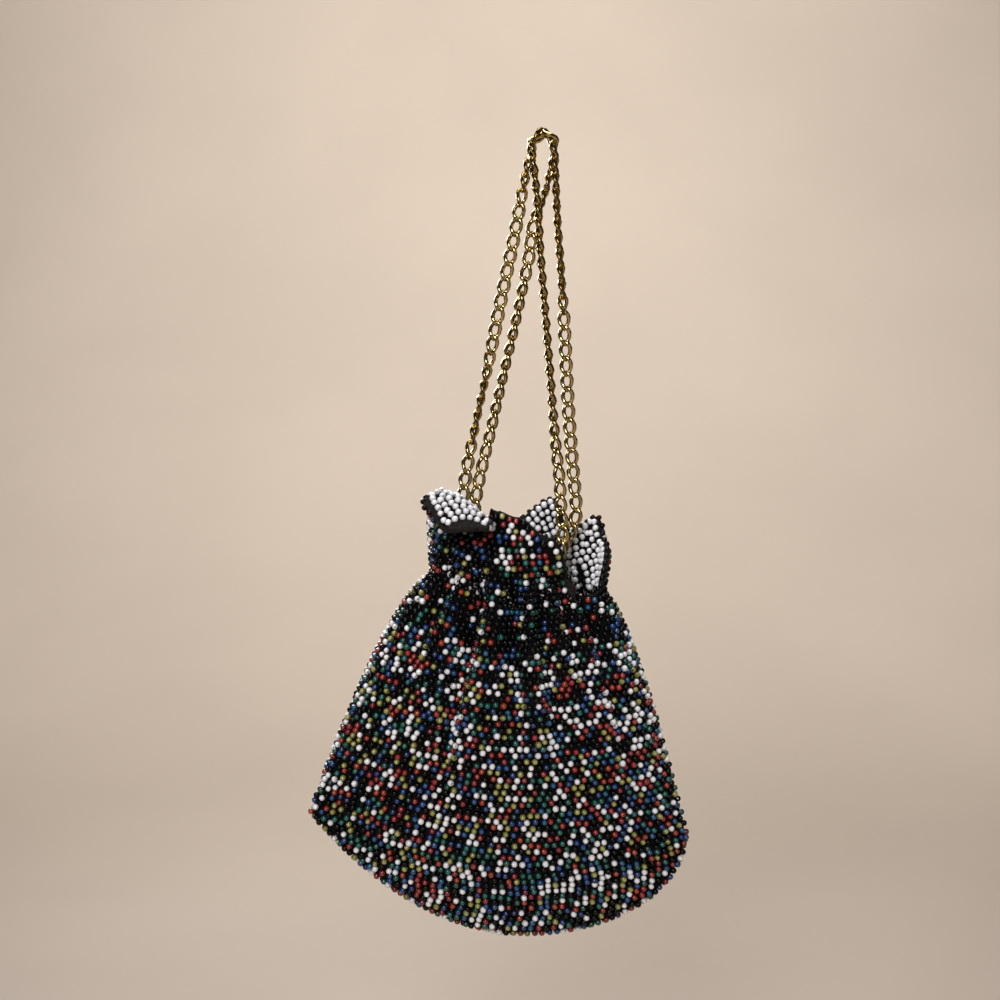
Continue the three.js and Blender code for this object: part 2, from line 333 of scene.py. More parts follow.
# Hand work: shift on the wall, turn in degrees, and spread of the bead size as a share
OUTER_HAND = (0.22, 11.0, 0.045)
FACING_HAND = (0.1, 8.0, 0.04)
RIM_HAND = (0.15, 12.0, 0.05)


def lerp(start, end, share):
    """Straight blend from start to end."""
    return start + (end - start) * share


def ease(share):
    """Smooth step: 3 s squared less 2 s cubed, held at 0 and 1 outside."""
    held = np.clip(share, 0.0, 1.0)
    return held * held * (3.0 - 2.0 * held)


def hump(share):
    """Squared cosine: 1 at 0, falling to 0 at -1 and 1."""
    return np.cos(np.pi / 2 * np.clip(share, -1.0, 1.0)) ** 2


def unit(vectors):
    """Vectors divided by their lengths."""
    return vectors / np.maximum(np.linalg.norm(vectors, axis=-1, keepdims=True), 1e-9)


def depth_at(down):
    """Half depth of the body, eased between the rows of the table."""
    below = np.clip(np.searchsorted(DEPTHS[:, 0], down), 1, len(DEPTHS) - 1)
    start = DEPTHS[below - 1]
    end = DEPTHS[below]
    share = ease((down - start[..., 0]) / (end[..., 0] - start[..., 0]))
    return lerp(start[..., 1], end[..., 1], share)


def petal_at(bearing):
    """Height, lean, swing, curl and lip at a bearing, eased between the rows of the rim table."""
    starts = RIM[:, 0] - RIM[0, 0]
    place = np.mod(bearing - RIM[0, 0], 360.0)
    here = np.searchsorted(starts, place, side="right") - 1
    there = (here + 1) % len(RIM)
    ends = np.append(starts[1:], 360.0)
    share = ease((place - starts[here]) / (ends[here] - starts[here]))
    values = lerp(RIM[here, 1:], RIM[there, 1:], share[..., None])
    return np.moveaxis(values, -1, 0)


def fold_depth(bearing, remains, half_width):
    """Sum over the folds of depth, hump across the fold and the share of the fold that remains."""
    turn = np.mod(bearing[..., None] - FOLDS[:, 0] + 180.0, 360.0) - 180.0
    return np.sum(FOLDS[:, 1] * hump(turn / half_width) * remains, axis=-1)


def neck_height(c, s):
    """Height of the drawn neck by cosine and sine: sag at front and back, lift at the left."""
    return NECK_Z + NECK_LIFT * np.maximum(-c, 0.0) ** 2 - NECK_SAG * s * s


def body_point(bearing, down, inset):
    """Oval section that blends from the neck into the bottom seam, less the inset and the folds."""
    bearing, down = np.broadcast_arrays(np.asarray(bearing, float), np.asarray(down, float))
    c = np.cos(np.radians(bearing))
    s = np.sin(np.radians(bearing))
    left = c < 0
    seam_x = BOTTOM_X + np.where(left, LEFT_REACH, RIGHT_REACH) * c
    corner_z = np.where(left, LEFT_Z, RIGHT_Z)
    sharpness = np.where(left, LEFT_SHARPNESS, RIGHT_SHARPNESS)
    seam_z = lerp(corner_z, BOTTOM_Z, np.abs(s) ** sharpness) + inset
    half_width = lerp(FOLD_HALF_WIDTH, CREASE_HALF_WIDTH, ease(down / CREASE_RUN))[..., None]
    fold = fold_depth(bearing, hump(down[..., None] / FOLDS[:, 2]), half_width)
    half = (depth_at(down) - inset) * np.sqrt(np.maximum(1.0 - down**SEAM_EDGE, 0.0))
    x = lerp(NECK_X + NECK_HALF_WIDTH * c, seam_x, down**FLARE) - c * (inset + fold)
    y = s * (half - fold)
    z = lerp(neck_height(c, s), seam_z, down)
    return np.stack([x, y, z], axis=-1)


def collar_point(bearing, up, inset):
    """Petal profile at a bearing: straight at its lean, a rolled arc, then a straight lip."""
    bearing, up = np.broadcast_arrays(np.asarray(bearing, float), np.asarray(up, float))
    c = np.cos(np.radians(bearing))
    s = np.sin(np.radians(bearing))
    height, lean, swing, curl, lip = petal_at(bearing)
    lean = np.radians(lean)
    curl = np.radians(curl)
    heading = np.radians(bearing + swing)
    along = height * up
    straight = np.minimum(along, height - ROLL_RADIUS * curl - lip)
    rolled = np.minimum(along - straight, ROLL_RADIUS * curl)
    hanging = along - straight - rolled
    tilt = lean + rolled / ROLL_RADIUS
    arc_forward = ROLL_RADIUS * (np.cos(lean) - np.cos(tilt))
    arc_rise = ROLL_RADIUS * (np.sin(tilt) - np.sin(lean))
    forward = straight * np.sin(lean) + arc_forward + hanging * np.sin(tilt)
    rise = straight * np.cos(lean) + arc_rise + hanging * np.cos(tilt)
    fold = fold_depth(bearing, hump(along / FOLD_RISE)[..., None], FOLD_HALF_WIDTH)
    inwards = fold + inset * np.cos(tilt)
    x = NECK_X + (NECK_HALF_WIDTH - inwards) * c + forward * np.cos(heading)
    y = (NECK_HALF_DEPTH - inwards) * s + forward * np.sin(heading)
    z = neck_height(c, s) + COLLAR_GAP + rise + inset * np.sin(tilt)
    return np.stack([x, y, z], axis=-1)


def wall_point(bearing, run, inset):
    """Body below the neck (run over 0) and collar above it (run under 0), as one surface."""
    bearing, run = np.broadcast_arrays(np.asarray(bearing, float), np.asarray(run, float))
    body = body_point(bearing, np.clip(run, 0.0, 1.0), inset)
    collar = collar_point(bearing, np.maximum(-run, 0.0), inset)
    return np.where(run[..., None] >= 0, body, collar)


def wall_frame(bearing, run, inset):
    """Point, direction along the row, direction up the wall and outward normal, by differences."""
    turn_step = 0.2
    run_step = 0.004
    ahead = wall_point(bearing + turn_step, run, inset)
    along = ahead - wall_point(bearing - turn_step, run, inset)
    lower = wall_point(bearing, np.minimum(run + run_step, 1.0), inset)
    fall = lower - wall_point(bearing, run - run_step, inset)
    row = unit(along)
    out = unit(np.cross(fall, along))
    return wall_point(bearing, run, inset), row, np.cross(out, row), out


def at_lengths(lengths, values, wanted):
    """Values at the wanted lengths, row by row.

    Rows are set apart by an offset so that one call serves all.
    """
    held = np.clip(wanted, lengths[:, :1], lengths[:, -1:])
    offset = np.arange(len(lengths))[:, None] * 2.0 * (lengths.max() + 1.0)
    known = np.broadcast_to(values, lengths.shape)
    found = np.interp((held + offset).ravel(), (lengths + offset).ravel(), known.ravel())
    return found.reshape(held.shape)


def run_lengths(points, axis):
    """Length from the first point to each point along an axis."""
    steps = np.linalg.norm(np.diff(points, axis=axis), axis=-1)
    start = np.zeros_like(np.take(steps, [0], axis=axis))
    return np.concatenate([start, np.cumsum(steps, axis=axis)], axis=axis)


def body_lattice(spacing, pitch, seam_pitch):
    """Bearing and run of beads in rows at equal distances below the neck, even along each row.

    A row has as many beads as its length holds, and every second row is shifted by half a place.
    Rows end before the bottom seam, which has a row of its own.
    """
    bearings = np.linspace(0.0, 360.0, MEASURE_BEARINGS + 1)
    runs = 1.0 - (1.0 - np.linspace(0.0, 1.0, MEASURE_RUNS)) ** MEASURE_CROWDING
    fall = run_lengths(body_point(bearings[:, None], runs[None, :], BEAD_SEAT), 1)
    reach = fall[:, -1]
    rows = np.arange(0.5 * pitch, reach.max(), pitch)
    row_runs = at_lengths(fall, runs, np.broadcast_to(rows, (len(bearings), len(rows)))).T
    around = run_lengths(body_point(bearings[None, :], row_runs, BEAD_SEAT), 1)
    count = np.round(around[:, -1:] / spacing)
    index = np.arange(count.max())[None, :]
    shift = 0.5 * (np.arange(len(rows)) % 2)[:, None]
    turn = at_lengths(around, bearings, (index + shift) / count * around[:, -1:])
    run = at_lengths(np.broadcast_to(bearings, row_runs.shape), row_runs, turn)
    last = np.interp(turn, bearings, reach) - SEAM_ROW - SEAM_CLEARANCE * pitch
    kept = (rows[:, None] < last) & (index < count)
    seam_runs = at_lengths(fall, runs, reach[:, None] - SEAM_ROW)[:, 0]
    seam = run_lengths(body_point(bearings, seam_runs, BEAD_SEAT), 0)
    seam_steps = np.arange(0.0, seam[-1] - 0.5 * seam_pitch, seam_pitch)
    seam_turn = np.interp(seam_steps, seam, bearings)
    seam_run = np.interp(seam_turn, bearings, seam_runs)
    return np.concatenate([turn[kept], seam_turn]), np.concatenate([run[kept], seam_run])


def border_row(bearing, column):
    """Value of a column of the border table at a bearing."""
    return np.interp(np.mod(bearing, 360.0), BORDERS[:, 0], BORDERS[:, column])


def border_at(bearing, column):
    """Length of petal that the bare border takes up on the outer or the inner face.

    It is the width of the table times the slope factor of the rim, the root of 1 + slope squared.
    """
    width = border_row(bearing, column)
    turn = np.radians(bearing)
    around = np.hypot(NECK_HALF_WIDTH * np.sin(turn), NECK_HALF_DEPTH * np.cos(turn))
    rise = petal_at(bearing + 1.0)[0] - petal_at(bearing - 1.0)[0]
    slope = rise / (around * np.radians(2.0))
    return width * np.minimum(np.hypot(1.0, slope), STEEPEST)


def row_shift(index):
    """Start of a row in places: every second row is shifted by half a place."""
    return 0.25 + 0.5 * (index % 2)


def stepped(line, on, spacing, shift, bearings, run):
    """Bearing and run of places at even steps along the parts of a line that are on."""
    steps = np.linalg.norm(np.diff(line, axis=0), axis=-1) * (on[1:] & on[:-1])
    along = np.concatenate([[0.0], np.cumsum(steps)])
    turn = np.interp(np.arange(shift, along[-1] / spacing) * spacing, along, bearings)
    return turn, np.interp(turn, bearings, run)


def joined_rows(rows, inset, gap):
    """Beads of several rows as one list, less those nearer than the gap to beads of rows before."""
    turns = np.zeros(0)
    runs = np.zeros(0)
    far = 1e6
    taken = np.full((1, 3), far)
    for turn, run in rows:
        found = wall_point(turn, run, inset)
        keep = np.linalg.norm(found[:, None] - taken[None], axis=-1).min(axis=1) > gap
        turns = np.concatenate([turns, turn[keep]])
        runs = np.concatenate([runs, run[keep]])
        taken = np.concatenate([taken, found[keep]])
    return turns, runs


def petal_rows(inset, low, pitch, spacing):
    """Bearing and run of beads outside the collar: a row along the border, then level rows."""
    bearings = np.linspace(0.0, 360.0, MEASURE_BEARINGS + 1)
    height = petal_at(bearings)[0]
    edge = height - border_at(bearings, OUTER_WIDTH) - 0.5 * spacing + EDGE_TUCK
    rows = []
    for index, level in enumerate([edge, *np.arange(RIM[:, 1].max(), low, -pitch)]):
        on = (level <= edge) & (np.minimum(level, edge) > low)
        run = -np.clip(level / height, 0.0, 1.0)
        line = wall_point(bearings, run, inset)
        rows.append(stepped(line, on, spacing, row_shift(index), bearings, run))
    return joined_rows(rows, inset, COLLAR_CROWDING * spacing)


def facing_rows(inset, low, pitch, spacing):
    """Bearing and run of beads inside the collar, in rows at equal distances from the border.

    A point's distance is that to the nearest point of the border line. A row follows one distance.
    """
    bearings = np.linspace(BARE_TO - 360.0, BARE_FROM, FACING_BEARINGS)
    height = petal_at(bearings)[0]
    edge = height - border_at(bearings, INNER_WIDTH)
    level = lerp(edge[:, None], low, np.linspace(0.0, 1.0, FACING_STEPS)[None, :])
    run = -np.clip(level / height[:, None], 0.0, 1.0)
    points = wall_point(bearings[:, None], run, inset)
    border = points[::2, 0]
    inner = points.reshape(-1, 3)
    square = np.sum(inner**2, axis=1)[:, None] + np.sum(border**2, axis=1)[None, :]
    square = square - 2.0 * inner @ border.T
    away = np.sqrt(np.maximum(square.min(axis=1), 0.0)).reshape(run.shape)
    away = np.maximum.accumulate(away, axis=1) + 1e-6 * np.arange(FACING_STEPS)
    shown = (edge > low) & ~((bearings > PLEAT_FROM) & (bearings < PLEAT_TO))
    rows = []
    for index, distance in enumerate(np.arange(FACING_FIRST * spacing, away.max(), pitch)):
        on = shown & (away[:, -1] > distance)
        row_run = at_lengths(away, run, np.full((len(bearings), 1), distance))[:, 0]
        line = wall_point(bearings, row_run, inset)
        rows.append(stepped(line, on, spacing, row_shift(index), bearings, row_run))
    return joined_rows(rows, inset, FACING_CROWDING * spacing)


def grid_quads(rows, columns, closed_rows=False, closed_columns=True):
    """Corner indices of the quads of a grid, row by row, wrapped where it is closed."""
    row = np.arange(rows if closed_rows else rows - 1)[:, None]
    column = np.arange(columns if closed_columns else columns - 1)[None, :]
    next_row = (row + 1) % rows
    next_column = (column + 1) % columns
    corners = [
        row * columns + column,
        row * columns + next_column,
        next_row * columns + next_column,
        next_row * columns + column,
    ]
    return np.stack(np.broadcast_arrays(*corners), axis=-1).reshape(-1, 4)


def add_piece(name, points, quads, material):
    """Mesh object from points in millimetres and quads, smooth, riding on the body."""
    mesh = bpy.data.meshes.new(name)
    mesh.vertices.add(len(points))
    mesh.vertices.foreach_set("co", (points * MM).astype(np.float32).ravel())
    mesh.loops.add(quads.size)
    mesh.loops.foreach_set("vertex_index", quads.astype(np.int32).ravel())
    mesh.polygons.add(len(quads))
    mesh.polygons.foreach_set("loop_start", np.arange(0, quads.size, 4, dtype=np.int32))
    mesh.polygons.foreach_set("use_smooth", np.ones(len(quads), dtype=bool))
    mesh.update(calc_edges=True)
    mesh.validate()
    mesh.materials.append(material)
    piece = bpy.data.objects.new(name, mesh)
    bpy.context.scene.collection.objects.link(piece)
    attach(piece, BODY)
    return piece


def add_uv(piece, corner_uv):
    """UV map named stitches from one pair for each quad corner."""
    layer = piece.data.uv_layers.new(name="stitches")
    layer.data.foreach_set("uv", corner_uv.astype(np.float32).ravel())


def piece_corners(piece):
    """Point index of each quad corner of a piece."""
    index = np.zeros(len(piece.data.loops), np.int32)
    piece.data.loops.foreach_get("vertex_index", index)
    return index


def add_point_values(piece, name, values):
    """Float attribute with one value for each point."""
    layer = piece.data.attributes.new(name, "FLOAT", "POINT")
    layer.data.foreach_set("value", values.astype(np.float32))


def bead_shape():
    """Barrel with a hole, of radius 1: the bead profile turned about the thread direction.

    Returns points as shares along the row, up the wall and outwards, and the quads.
    """
    angle = 2.0 * np.pi * (np.arange(BEAD_SIDES) + 0.5) / BEAD_SIDES
    along = np.repeat(BEAD_PROFILE[:, 0], BEAD_SIDES)
    side = np.outer(BEAD_PROFILE[:, 1], np.cos(angle)).ravel()
    out = np.outer(BEAD_PROFILE[:, 1], np.sin(angle)).ravel()
    quads = grid_quads(len(BEAD_PROFILE), BEAD_SIDES, closed_rows=True)
    return np.stack([along, side, out], axis=-1), quads


def repeat_shape(name, shape, quads, place, axes, material):
    """One mesh of a shape repeated: its points carried to each place, along the axes there."""
    points = place[:, None, :] + np.einsum("vk,mkx->mvx", shape, axes)
    offsets = np.arange(len(place))[:, None, None] * len(shape)
    corners = (quads[None] + offsets).reshape(-1, 4)
    return add_piece(name, points.reshape(-1, 3), corners, material)


def scatter_beads(name, beads, radius, tint, colour):
    """One mesh of beads: the bead shape at each place, along its row, side and outward axes."""
    place, row, side, out = beads
    shape, quads = bead_shape()
    axes = np.stack([row, side, out], axis=1) * radius[:, None, None]
    piece = repeat_shape(name, shape, quads, place, axes, bead_finish(colour))
    # painted shade: each point's outward share, dark toward the thread and full colour on the outward
    # top
    add_point_values(piece, "lift", np.tile(shape[:, 2], len(place)))
    add_point_values(piece, "tint", np.repeat(tint, len(shape)))


def loosen(draws, place, row, side, out, hand):
    """Moves beads a little on the wall and turns them a little, as hand work leaves them."""
    count = len(place)
    shift = draws.normal(0.0, hand[0], (count, 2))
    angle = np.radians(draws.normal(0.0, hand[1], count))[:, None]
    lean = np.radians(draws.normal(0.0, hand[1], count))[:, None]
    moved = place + row * shift[:, :1] + side * shift[:, 1:]
    new_row = unit(row * np.cos(angle) + side * np.sin(angle) + out * np.sin(lean))
    new_side = unit(np.cross(out, new_row))
    return moved, new_row, new_side, np.cross(new_row, new_side)


def bead_radii(draws, diameter, count, hand):
    """Radii in millimetres, spread about half the diameter."""
    return 0.5 * diameter / MM * draws.normal(1.0, hand[2], count)


def chain_route(outer, ring, inner):
    """Closed centripetal Catmull-Rom curve through strands and ring, even in its parameter.

    Returns its points and the number of the knot where the inner strand starts.
    """
    x, half_width, half_depth, below, start, end = ring
    bearing = np.radians(np.linspace(start, end, RING_STEPS + 1))
    s = np.sin(bearing)
    oval = [x + half_width * np.cos(bearing), half_depth * s, NECK_Z - below - NECK_SAG * s * s]
    knots = np.concatenate([outer, np.stack(oval, axis=-1), inner])
    before = np.roll(knots, 1, axis=0)
    after = np.roll(knots, -1, axis=0)
    later = np.roll(knots, -2, axis=0)
    gap_0 = np.linalg.norm(knots - before, axis=1, keepdims=True) ** 0.5
    gap_1 = np.linalg.norm(after - knots, axis=1, keepdims=True) ** 0.5
    gap_2 = np.linalg.norm(later - after, axis=1, keepdims=True) ** 0.5
    leave = (knots - before) / gap_0 - (after - before) / (gap_0 + gap_1) + (after - knots) / gap_1
    reach = (after - knots) / gap_1 - (later - knots) / (gap_1 + gap_2) + (later - after) / gap_2
    leave = (leave * gap_1)[:, None]
    reach = (reach * gap_1)[:, None]
    t = (np.arange(ROUTE_STEPS) / ROUTE_STEPS)[None, :, None]
    start = knots[:, None]
    end = after[:, None]
    bend = -3 * start + 3 * end - 2 * leave - reach
    twist = 2 * start - 2 * end + leave + reach
    curve = start + leave * t + bend * t**2 + twist * t**3
    return curve.reshape(-1, 3), len(knots) - len(inner)


def link_shape(length, width, wire):
    """Oval ring twisted about the chain: where its cosine is a, it is turned by a times the twist.

    Returns points along, across and out of the flat of the chain, their painted light, and the
    quads. Painted light leaves the wire its full colour on the flat of the chain and paints shade on
    the sides that face along it, by the sine round the wire.
    """
    half_length = 0.5 * (length - wire)
    half_width = 0.5 * (width - wire)
    angle = 2.0 * np.pi * np.arange(LINK_STEPS) / LINK_STEPS
    twist = np.radians(LINK_TWIST) * np.cos(angle)
    spread = half_width * np.sin(angle)
    line = [half_length * np.cos(angle), spread * np.cos(twist), spread * np.sin(twist)]
    line = np.stack(line, axis=-1)
    tangent = unit(np.roll(line, -1, axis=0) - np.roll(line, 1, axis=0))
    outward = unit(line - tangent * np.sum(line * tangent, axis=-1, keepdims=True))
    third = np.cross(tangent, outward)
    ring = 2.0 * np.pi * np.arange(LINK_SIDES) / LINK_SIDES
    cosine = np.cos(ring)[None, :, None]
    sine = np.sin(ring)[None, :, None]
    points = line[:, None] + 0.5 * wire * (cosine * outward[:, None] + sine * third[:, None])
    # painted light: 1 where the wire faces the flat of the chain, 0 on its sides, which get painted
    # shade
    polish = np.tile(np.abs(np.sin(ring)), LINK_STEPS)
    quads = grid_quads(LINK_STEPS, LINK_SIDES, closed_rows=True)
    return points.reshape(-1, 3), polish, quads


def chain_links(side_name, strands, turns, sizes, material):
    """Links at even steps of the closed route, each turned about it as the turn tables say."""
    route, inner_start = chain_route(*strands)
    closed = np.concatenate([route, route[:1]])
    along = run_lengths(closed, 0)
    count = int(round(along[-1] / (sizes.link_pitch / MM)))
    middle = (np.arange(count) + 0.5) / count * along[-1]
    step = 0.5

    def place_at(length):
        """Points of the route at lengths along it."""
        wrapped = np.mod(length, along[-1])
        return np.stack([np.interp(wrapped, along, closed[:, k]) for k in range(3)], axis=-1)

    centre = place_at(middle)
    tangent = unit(place_at(middle + step) - place_at(middle - step))
    face = unit(LINK_FRONT - tangent * (tangent @ LINK_FRONT)[:, None])
    side = np.cross(tangent, face)
    knot = np.interp(middle, along, np.arange(len(closed)) / ROUTE_STEPS)
    tables = [np.array(table, float)[::-1] for table in turns]
    down_turn, up_turn = (np.interp(centre[:, 2], *table.T) for table in tables)
    turn = np.radians(np.where(knot > inner_start, up_turn, down_turn))[:, None]
    across = side * np.cos(turn) + face * np.sin(turn)
    flat = face * np.cos(turn) - side * np.sin(turn)
    measures = (sizes.link_length / MM, sizes.link_width / MM, sizes.link_wire / MM)
    shape, polish, quads = link_shape(*measures)
    axes = np.stack([tangent, across, flat], axis=1)
    piece = repeat_shape(f"links_{side_name}", shape, quads, centre, axes, material)
    # painted light of every link's points, which the gold turns into painted shade on the wire's
    # sides
    add_point_values(piece, "polish", np.tile(polish, count))
    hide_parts(f"chain_{side_name}")


def new_material(name):
    """Material with its node tree and its main shader."""
    material = bpy.data.materials.new(name)
    material.use_nodes = True
    tree = material.node_tree
    return material, tree, tree.nodes["Principled BSDF"]


def feed(tree, node, inputs):
    """Node with its inputs set: another node's output is linked, a number or colour is set."""
    for socket, value in inputs.items():
        if isinstance(value, bpy.types.NodeSocket):
            tree.links.new(value, node.inputs[socket])
        else:
            node.inputs[socket].default_value = value
    return node


def add_node(tree, kind, inputs=None):
    """New shader node with its inputs set."""
    return feed(tree, tree.nodes.new(f"ShaderNode{kind}"), inputs or {})


def coordinate(tree, kind):
    """Object coordinates or the UV map."""
    return add_node(tree, "TexCoord").outputs[kind]


def ramp_node(tree, source, stops, smooth=True):
    """Colour ramp over a value, with stops of place and colour."""
    node = add_node(tree, "ValToRGB", {"Fac": source})
    node.color_ramp.interpolation = "EASE" if smooth else "LINEAR"
    elements = node.color_ramp.elements
    while len(elements) < len(stops):
        elements.new(0.5)
    for element, (place, colour) in zip(elements, stops):
        element.position = place
        element.color = (*colour, 1.0)
    return node.outputs["Color"]


def attribute_value(tree, name):
    """Value of a float attribute of the mesh."""
    node = add_node(tree, "Attribute")
    node.attribute_name = name
    return node.outputs["Fac"]


def multiply(tree, first, second):
    """Product of two colours."""
    node = add_node(tree, "Mix")
    node.data_type = "RGBA"
    node.blend_type = "MULTIPLY"
    feed(tree, node, {"Factor": 1.0, "A": first, "B": second})
    return node.outputs["Result"]


def math_value(tree, operation, *terms):
    """Result of an operation on terms, each a number or another node's output."""
    node = add_node(tree, "Math")
    node.operation = operation
    return feed(tree, node, dict(enumerate(terms))).outputs[0]


def noise_value(tree, scale, detail=2.0):
    """Noise on Object coordinates."""
    inputs = {"Vector": coordinate(tree, "Object"), "Scale": scale, "Detail": detail}
    return add_node(tree, "TexNoise", inputs).outputs["Fac"]


def range_value(tree, source, low, high, start=0.0, end=1.0):
    """Value from start to end carried to a range, and held at its ends."""
    inputs = {"Value": source, "From Min": start, "From Max": end, "To Min": low, "To Max": high}
    return add_node(tree, "MapRange", inputs).outputs["Result"]


def bump_from(tree, source, distance, strength=1.0):
    """Bump of a height in metres."""
    inputs = {"Height": source, "Distance": distance, "Strength": strength}
    return add_node(tree, "Bump", inputs).outputs["Normal"]


def shade(colour, amount):
    """Colour made lighter or darker, held in range."""
    return tuple(min(1.0, max(0.0, part * amount)) for part in colour)


def cloth_material(name, colour, stitch, grain):
    """Matte thread: stitches as cells on the UV map, twist lines across them and a soft sheen."""
    material, tree, shader = new_material(name)
    place = coordinate(tree, "UV")
    cells = add_node(tree, "TexVoronoi")
    cells.feature = "SMOOTH_F1"
    cells.voronoi_dimensions = "2D"
    feed(tree, cells, {"Vector": place, "Scale": stitch, "Randomness": 0.35})
    twist = add_node(tree, "TexWave", {"Vector": place, "Scale": stitch * 1.6, "Distortion": 2.5})
    twist.bands_direction = "DIAGONAL"
    stitches = range_value(tree, cells.outputs["Distance"], 1.0, 0.0)
    height = math_value(tree, "MULTIPLY_ADD", twist.outputs["Fac"], TWIST_SHARE, stitches)
    tones = [(0.3, shade(colour, 0.6)), (0.7, shade(colour, 1.5))]
    finish = {
        "Base Color": ramp_node(tree, noise_value(tree, grain, 4.0), tones),
        "Normal": bump_from(tree, height, STITCH_DEPTH),
        "Roughness": 0.82,
        "Sheen Weight": 0.015,
        "Sheen Roughness": 0.4,
        "Specular IOR Level": 0.07,
    }
    feed(tree, shader, finish)
    return material


def gold_material(name, colour):
    """Pale gold, full colour on the flat of the wire and painted shade on its sides, with fine wear.
    """
    material, tree, shader = new_material(name)
    patches = [(0.3, GOLD_PATCH), (0.7, PLAIN)]
    tone = ramp_node(tree, noise_value(tree, PATCH_GRAIN, 3.0), patches)
    # painted shade: the sides of the wire darkened to a small share of the gold
    painted_shade_side = tuple(part * amount for part, amount in zip(colour, GOLD_PAINTED_SHADE))
    painted_shade_gold = ramp_node(tree, attribute_value(tree, "polish"), [(0.0, painted_shade_side), (0.9, colour)])
    finish = {
        "Base Color": multiply(tree, painted_shade_gold, tone),
        "Metallic": 1.0,
        "Roughness": range_value(tree, noise_value(tree, GLOSS_GRAIN), *GOLD_GLOSS),
        "Normal": bump_from(tree, noise_value(tree, WEAR_GRAIN, 4.0), WEAR_DEPTH, 0.6),
    }
    feed(tree, shader, finish)
    return material


def length_property(name, description, default):
    """Length in metres that a user may change."""
    return bpy.props.FloatProperty(
        name=name, description=description, default=default, unit="LENGTH"
    )


def colour_property(name, description, default):
    """Colour that a user may change."""
    return bpy.props.FloatVectorProperty(
        name=name, description=description, default=default, subtype="COLOR"
    )


class BagSizes(bpy.types.PropertyGroup):
    """Sizes of the beads, the binding and the chain links."""

    bead_diameter: length_property("Bead", "Diameter of a bead on the outside", 0.00255)
    facing_bead_diameter: length_property(
        "Facing bead", "Diameter of a white bead inside the collar", 0.0027
    )
    rim_bead_diameter: length_property(
        "Rim bead", "Diameter of a bead on the edge of the collar", 0.0024
    )
    bead_spacing: length_property("Bead spacing", "Distance between beads in a round", 0.0032)
    bead_pitch: length_property(
        "Row pitch", "Distance from one round of beads to the next", 0.00255
    )
    collar_spacing: length_property(
        "Collar spacing", "Distance between beads in a row of the collar or the seam", 0.003
    )
    facing_spacing: length_property(
        "Facing spacing", "Distance between white beads in a row", 0.0031
    )
    facing_pitch: length_property("Facing pitch", "Distance between rows of white beads", 0.0028)
    rim_pitch: length_property("Rim pitch", "Distance between beads on the edge", 0.0036)
    link_pitch: length_property("Link pitch", "Distance from one link to the next", 0.0064)
    link_length: length_property("Link length", "Length of a link outside", 0.0094)
    link_width: length_property("Link width", "Width of a link outside", 0.006)
    link_wire: length_property("Wire", "Diameter of the wire of a link", 0.0018)


class BagColours(bpy.types.PropertyGroup):
    """Colours of the glass, the thread and the metal."""

    white: colour_property("White", "White glass", (0.76, 0.745, 0.76))
    black: colour_property("Black", "Black glass", (0.0014, 0.0014, 0.0015))
    red: colour_property("Red", "Red glass", (0.3, 0.018, 0.016))
    green: colour_property("Green", "Green glass", (0.009, 0.1, 0.07))
    blue: colour_property("Blue", "Blue glass", (0.01, 0.046, 0.195))
    yellow: colour_property("Yellow", "Mustard glass", (0.36, 0.335, 0.085))
    thread: colour_property("Thread", "Black thread", (0.0026, 0.0024, 0.0026))
    tape: colour_property("Tape", "Binding tape of the rim", (0.0155, 0.0134, 0.012))
    gold: colour_property("Gold", "Metal of the chains", (0.62, 0.46, 0.19))
    floor: colour_property("Floor", "Floor and backdrop", (0.8, 0.67, 0.55))


class BagSettings(bpy.types.PropertyGroup):
    """All settings of the bag."""

    sizes: bpy.props.PointerProperty(type=BagSizes)
    colours: bpy.props.PointerProperty(type=BagColours)


def settings():
    """Settings of the bag in the scene."""
    return bpy.context.scene.beaded_bag


def colour_of(name):
    """A colour of the settings as a plain tuple."""
    return tuple(getattr(settings().colours, name))


def bead_finish(colour):
    """Glass of one bead colour, made once: each bead's own tint, with painted shade at the thread."""
    name = f"glass_{colour}"
    if name in bpy.data.materials:
        return bpy.data.materials[name]
    material, tree, shader = new_material(name)
    edge, roughness, specular, shifts = GLASS[colour]
    tints = np.clip(np.array(colour_of(colour)) * np.array(shifts), 0.0, 1.0)
    stops = list(zip((0.0, 0.5, 1.0), tints.tolist()))
    tint = ramp_node(tree, attribute_value(tree, "tint"), stops, smooth=False)
    # painted shade: darker on the side toward the thread, full colour on the outward top of the bead
    painted_shades = [(0.0, shade(PLAIN, edge)), (0.75, shade(PLAIN, 1.5 * edge)), (1.0, PLAIN)]
    lift = ramp_node(tree, attribute_value(tree, "lift"), painted_shades)
    low, high = (roughness * part for part in GLASS_GLOSS)
    finish = {
        "Base Color": multiply(tree, tint, lift),
        "Roughness": range_value(tree, noise_value(tree, GLASS_GRAIN), low, high),
        "IOR": GLASS_IOR,
        "Specular IOR Level": specular,
    }
    feed(tree, shader, finish)
    return material


